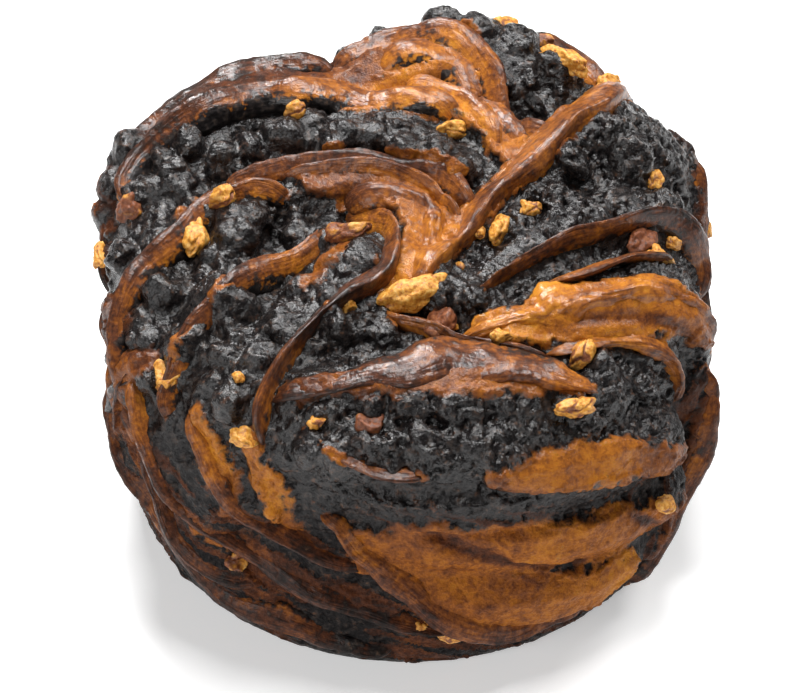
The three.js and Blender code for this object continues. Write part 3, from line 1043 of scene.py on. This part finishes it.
def side_walnuts():
    rows = []
    for i in range(SIDE_WALNUTS):
        angle = math.radians(8 + 155 * (i + RNG.uniform(0, 0.8)) / SIDE_WALNUTS)
        length = RNG.uniform(4, 9)
        turn = RNG.uniform(0, 180)
        height = RNG.uniform(0.12, 0.66)
        width = length * RNG.uniform(0.5, 0.8)
        skin = RNG.random() ** 2
        rows.append((math.cos(angle), math.sin(angle), height, length, width, turn, skin, -0.4))
    return rows


NUT_GROWTH = 1.2  # the rows give the part that shows; the rest is in the crust
NUT_HALF_DEPTH = 2.6  # millimetres at most


def press_in(number, row):
    x, y, z, length, width, turn, skin, lift = row
    kind = kinds[number % len(kinds)]
    nut = copy_of(kind, f"nut_{number}")
    half = Vector((length / 2, width / 2, min(width / 2, NUT_HALF_DEPTH))) * NUT_GROWTH * MM
    outward = away(on_crust(x, y, z))
    skin_point, _, _, _ = skin_tree.ray_cast(MIDDLE + outward * OUTSIDE, -outward)
    spot = skin_point + outward * lift * half.z
    right = Vector((math.cos(math.radians(turn)), math.sin(math.radians(turn)), 0))
    right = (right - outward * right.dot(outward)).normalized()
    back = outward.cross(right)
    turned = Matrix((right, back, outward)).transposed().to_4x4()
    nut.data.transform(Matrix.Translation(spot) @ turned @ Matrix.Diagonal((*half, 1)))
    mark(nut, "skin", np.full(len(nut.data.vertices), skin))
    return nut


nuts = [press_in(i, row) for i, row in enumerate(WALNUTS + side_walnuts())]
walnuts = join(nuts, "walnuts")
bpy.ops.object.shade_smooth()
for kind in kinds:
    bpy.data.objects.remove(kind)
print("walnuts:", len(nuts), "pieces,", len(walnuts.data.polygons), "faces")

# %% [markdown]
# ## Finishes
# All three finishes are painted by nodes. The dough browns first where it stands out and stays golden in
# the folds, so its colour follows the marks left on the strands. The filling is nearly black, and the nuts
# are golden inside with a brown skin. The hot loaf is brushed with syrup. That is a clear coat over dough
# and filling, thick on the crown and thin on the wall, with gentler bumps than the crust below it.

# %% Node helpers
def finish(name, **constants):
    material = bpy.data.materials.new(name)
    material.use_nodes = True
    shader = material.node_tree.nodes["Principled BSDF"]
    for label, value in constants.items():
        shader.inputs[label.replace("_", " ").title().replace("Ior", "IOR")].default_value = value
    return material, shader


def node(material, kind, links=None, **settings):
    made = material.node_tree.nodes.new(kind)
    for label, value in settings.items():
        setattr(made, label, value)
    for label, value in (links or {}).items():
        if isinstance(value, bpy.types.NodeSocket):
            material.node_tree.links.new(value, made.inputs[label])
        else:
            made.inputs[label].default_value = value
    return made


def link(material, source, target):
    material.node_tree.links.new(source, target)


def places_on(material):
    return node(material, "ShaderNodeTexCoord").outputs["Object"]


def marked(material, name):
    """What mark() wrote on the corners under that name."""
    return node(material, "ShaderNodeAttribute", attribute_name=name).outputs["Fac"]


def maths(material, operation, first, second):
    return node(material, "ShaderNodeMath", {0: first, 1: second}, operation=operation).outputs[0]


def speckle(material, vector, size, detail=4, roughness=0.55):
    """Noise whose features are about size metres across."""
    made = node(
        material, "ShaderNodeTexNoise",
        {"Vector": vector, "Scale": 1 / size, "Detail": detail, "Roughness": roughness},
    )
    return made.outputs["Fac"]


def cells(material, vector, size):
    made = node(material, "ShaderNodeTexVoronoi", {"Vector": vector, "Scale": 1 / size})
    return made.outputs["Distance"]


def weigh(material, *terms, add=0.0):
    """The sum of sockets, each times its weight, plus a number."""
    total = add
    for socket, weight in terms:
        part = maths(material, "MULTIPLY", socket, weight)
        total = maths(material, "ADD", part, total)
    return total


def ramp(material, value, stops):
    made = node(material, "ShaderNodeValToRGB", {"Fac": value})
    elements = made.color_ramp.elements
    while len(elements) < len(stops):
        elements.new(0.5)
    for element, (position, colour) in zip(elements, stops):
        element.position = position
        element.color = (*colour, 1)
    return made.outputs["Color"]


def span(material, value, low, high, to_low, to_high):
    made = node(
        material, "ShaderNodeMapRange",
        {"Value": value, "From Min": low, "From Max": high, "To Min": to_low, "To Max": to_high},
    )
    return made.outputs["Result"]


def bump(material, height, distance, strength=1.0, under=None):
    links = {"Height": height, "Distance": distance, "Strength": strength}
    if under is not None:
        links["Normal"] = under
    return node(material, "ShaderNodeBump", links).outputs["Normal"]


def glaze(material, place, on_wall, on_crown):
    """How much syrup is on the crust: it is brushed over the crown and runs thin on the wall."""
    height = node(material, "ShaderNodeSeparateXYZ", {"Vector": place}).outputs["Z"]
    return span(material, height, 0.45 * SIZE.z, 0.72 * SIZE.z, on_wall, on_crown)


# %% Colours of baked dough, from golden to burnt
BAKED = [
    (0.00, (0.54, 0.210, 0.020)),
    (0.20, (0.38, 0.126, 0.015)),
    (0.40, (0.21, 0.064, 0.013)),
    (0.60, (0.090, 0.027, 0.010)),
    (0.80, (0.030, 0.011, 0.006)),
    (1.00, (0.008, 0.005, 0.004)),
]
CHARRED = [
    (0.36, (0.002, 0.001, 0.001)),
    (0.50, (0.008, 0.006, 0.006)),
    (0.64, (0.034, 0.025, 0.021)),
    (0.80, (0.130, 0.070, 0.040)),
]


def blend(material, factor, first, second):
    made = node(material, "ShaderNodeMix", {0: factor, 6: first, 7: second}, data_type="RGBA")
    return made.outputs[2]


# %% [markdown]
# ## Glazed dough
# The colour of this dough runs from golden in the folds to nearly black on the ridges. One brown with a
# bump would look like wood, so a ramp of six browns is read by a sum: the bake-and-shade and crest marks,
# streaks stretched along the strand's own UV map, and three sizes of speckle. The bake-and-shade mark is
# how brown the crust is baked, and on the low front wall it is also painted shade. Another sum smears
# filling over it.

# %% Glazed dough
def dough_finish():
    material, shader = finish("glazed_dough", coat_roughness=0.05, specular_ior_level=0.12)
    place = places_on(material)
    crest = marked(material, "crest")
    bake_and_shade = marked(material, "bake_and_shade")
    flow = node(material, "ShaderNodeUVMap").outputs["UV"]
    stretched = node(material, "ShaderNodeMapping", {"Vector": flow, "Scale": (1.6, 0.16, 1)}).outputs[0]
    streaks = node(material, "ShaderNodeTexNoise", {"Vector": stretched, "Scale": 1, "Detail": 5})
    streak = streaks.outputs["Fac"]
    patch = speckle(material, place, 8 * MM, detail=3)
    small = speckle(material, place, 1.6 * MM, detail=5)
    fine = speckle(material, place, 0.7 * MM)
    brown = weigh(
        material, (bake_and_shade, 0.78), (crest, 0.45), (patch, 0.85), (streak, 0.55), (small, 0.8), (fine, 0.4),
        add=-1.5,
    )
    colour = ramp(material, brown, BAKED)
    black = ramp(material, small, CHARRED)
    smear = weigh(material, (crest, -1.5), (patch, 1.9), (small, 1.5), (bake_and_shade, 0.3), add=-0.92)
    smeared = span(material, smear, 0, 0.25, 0, 1)
    link(material, blend(material, smeared, colour, black), shader.inputs["Base Color"])
    rough = span(material, small, 0.3, 0.7, 0.35, 0.65)
    link(material, rough, shader.inputs["Roughness"])
    wrinkle = bump(material, streak, 0.5 * MM, 0.7)
    blister = bump(material, small, 0.45 * MM, 0.9, under=wrinkle)
    grain = bump(material, fine, 0.16 * MM, 0.8, under=blister)
    link(material, grain, shader.inputs["Normal"])
    glaze_wrinkle = bump(material, streak, 0.22 * MM, 0.7)
    glaze_blister = bump(material, small, 0.20 * MM, 0.9, under=glaze_wrinkle)
    glaze_grain = bump(material, fine, 0.08 * MM, 0.8, under=glaze_blister)
    link(material, glaze_grain, shader.inputs["Coat Normal"])
    link(material, glaze(material, place, 0.15, 0.5), shader.inputs["Coat Weight"])
    return material


# %% [markdown]
# ## Baked filling
# Cocoa, seeds and sugar bake to a black crumb with a little brown in its highest grains, which a ramp on
# fine speckle gives. The same skin carries the faces of dough. The dough mark says where they are, and
# speckle frays their border, because a clean border would look painted on.

# %% Baked filling
def filling_finish():
    material, shader = finish("baked_filling", coat_roughness=0.10, specular_ior_level=0.06)
    place = places_on(material)
    dough_share = marked(material, "dough")
    bake_and_shade = marked(material, "bake_and_shade")
    broad = speckle(material, place, 8 * MM, detail=3)
    small = speckle(material, place, 1.6 * MM, detail=6)
    fine = speckle(material, place, 0.6 * MM, detail=3)
    dark = ramp(material, small, CHARRED)
    # The bake-and-shade mark is darker in the folds, as painted shade.
    brown = weigh(material, (bake_and_shade, 0.78), (broad, 0.65), (small, 0.8), (fine, 0.35), add=-0.79)
    golden = ramp(material, brown, BAKED)
    edge = weigh(material, (dough_share, 1.3), (small, 2.0), (fine, 1.2), (broad, 0.6), add=-2.55)
    shown = span(material, edge, -0.35, 0.35, 0, 1)
    link(material, blend(material, shown, dark, golden), shader.inputs["Base Color"])
    rough = span(material, fine, 0.3, 0.7, 0.32, 0.70)
    link(material, rough, shader.inputs["Roughness"])
    grit = span(material, shown, 0, 1, 1, 0.25)
    crumb_bump = bump(material, small, 0.8 * MM, grit)
    seed_bump = bump(material, cells(material, place, 0.8 * MM), 0.22 * MM, grit, under=crumb_bump)
    grain = bump(material, fine, 0.42 * MM, 0.9, under=seed_bump)
    link(material, grain, shader.inputs["Normal"])
    glaze_crumb = bump(material, small, 0.4 * MM, grit)
    glaze_grain = bump(material, fine, 0.2 * MM, 0.9, under=glaze_crumb)
    link(material, glaze_grain, shader.inputs["Coat Normal"])
    brushed = glaze(material, place, 0.15, 0.85)
    kept = span(material, shown, 0, 1, 1, 0.4)
    link(material, maths(material, "MULTIPLY", brushed, kept), shader.inputs["Coat Weight"])
    return material


# %% [markdown]
# ## Toasted walnut
# A chopped walnut has golden flesh on its broken faces and a thin brown skin on the rest. Painting each
# piece would take long, so each has one number for how much skin it kept, and its creases and a broad
# speckle decide where the skin lies.

# %% Toasted walnut
def walnut_finish():
    material, shader = finish("toasted_walnut", specular_ior_level=0.4)
    place = places_on(material)
    skin = marked(material, "skin")
    broad = speckle(material, place, 3.5 * MM, detail=4)
    small = speckle(material, place, 0.9 * MM, detail=4)
    flesh = ramp(material, small, [
        (0.32, (0.30, 0.090, 0.014)),
        (0.50, (0.62, 0.27, 0.035)),
        (0.70, (0.76, 0.45, 0.130)),
    ])
    brown = ramp(material, small, [
        (0.30, (0.060, 0.020, 0.010)),
        (0.55, (0.20, 0.060, 0.022)),
        (0.75, (0.36, 0.14, 0.050)),
    ])
    crease = marked(material, "crease")
    show = weigh(material, (skin, 1.0), (broad, 1.8), (crease, 0.55), (small, 0.8), add=-1.72)
    skin_share = span(material, show, 0, 0.25, 0, 1)
    link(material, blend(material, skin_share, flesh, brown), shader.inputs["Base Color"])
    rough = span(material, small, 0.3, 0.7, 0.35, 0.6)
    link(material, rough, shader.inputs["Roughness"])
    folds = bump(material, broad, 0.8 * MM, 0.7)
    grain = bump(material, small, 0.25 * MM, 0.8, under=folds)
    link(material, grain, shader.inputs["Normal"])
    return material


# %% Give each piece its finish and its body
glazed = dough_finish()
baked = filling_finish()
toasted = walnut_finish()

for piece in dough_pieces:
    piece.data.materials.clear()
    piece.data.materials.append(glazed)
    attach(piece, "root")
for piece in filling_pieces:
    piece.data.materials.clear()
    piece.data.materials.append(baked)
    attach(piece, "root")
walnuts.data.materials.clear()
walnuts.data.materials.append(toasted)
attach(walnuts, "root")

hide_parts(LOAF)
print("pieces:", len(dough_pieces) + len(filling_pieces) + 1)
print("nodes per finish:", [len(made.node_tree.nodes) for made in (glazed, baked, toasted)])

# %% [markdown]
# ## Studio
# A pale floor, a dim white surround and soft lights: two behind the loaf draw the sheen along the crests,
# one overhead and one on the right open the folds, and a wide one in front fills the wall. The floor glows
# a little, so that it stays white round the loaf.

# %% Floor, surround and lights
def floor():
    deselect()
    bpy.ops.mesh.primitive_grid_add(x_subdivisions=8, y_subdivisions=8, size=6)
    piece = bpy.context.object
    piece.name = "studio_floor"
    material, shader = finish(
        "pale_floor", roughness=0.8, emission_color=(1, 1, 1, 1), emission_strength=0.4
    )
    tint = ramp(material, speckle(material, places_on(material), 0.4), [
        (0.3, (0.80, 0.80, 0.80)),
        (0.7, (0.84, 0.84, 0.84)),
    ])
    link(material, tint, shader.inputs["Base Color"])
    piece.data.materials.append(material)
    return piece


def soft_light(name, place, size, power):
    data = bpy.data.lights.new(name, "AREA")
    data.shape = "DISK"
    data.size = size
    data.energy = power
    lamp = bpy.data.objects.new(name, data)
    lamp.location = place
    lamp.rotation_euler = (share(0, 0, 0.5) - Vector(place)).to_track_quat("-Z", "Y").to_euler()
    bpy.context.scene.collection.objects.link(lamp)


floor()
soft_light("overhead_light", (0.06, 0.04, 1.0), 0.30, 6.2)
soft_light("back_light", (-0.20, 0.50, 0.64), 0.20, 5.6)
soft_light("glint_light", (-0.06, 0.22, 0.70), 0.12, 1.4)
soft_light("right_light", (0.45, 0.32, 0.60), 0.25, 2.6)
soft_light("front_light", (-0.50, -0.70, 0.50), 0.5, 3.4)

world = bpy.data.worlds.new("surround")
world.use_nodes = True
world.node_tree.nodes["Background"].inputs["Color"].default_value = (1, 1, 1, 1)
world.node_tree.nodes["Background"].inputs["Strength"].default_value = 0.10
bpy.context.scene.world = world
bpy.context.scene.view_settings.view_transform = "Standard"

# %% Camera
CAMERA_ELEVATION = math.radians(43)
CAMERA_DISTANCE = 0.75
AIM = share(-0.033, 0, 0.441)

lens = bpy.data.cameras.new("camera")
lens.lens = 142
lens.sensor_width = 36
lens.clip_start = 0.01
camera = bpy.data.objects.new("camera", lens)
towards_camera = Vector((0, -math.cos(CAMERA_ELEVATION), math.sin(CAMERA_ELEVATION)))
camera.location = AIM + towards_camera * CAMERA_DISTANCE
camera.rotation_euler = (-towards_camera).to_track_quat("-Z", "Y").to_euler()
bpy.context.scene.collection.objects.link(camera)
bpy.context.scene.camera = camera
print("camera at, in mm:", [round(v / MM) for v in camera.location])
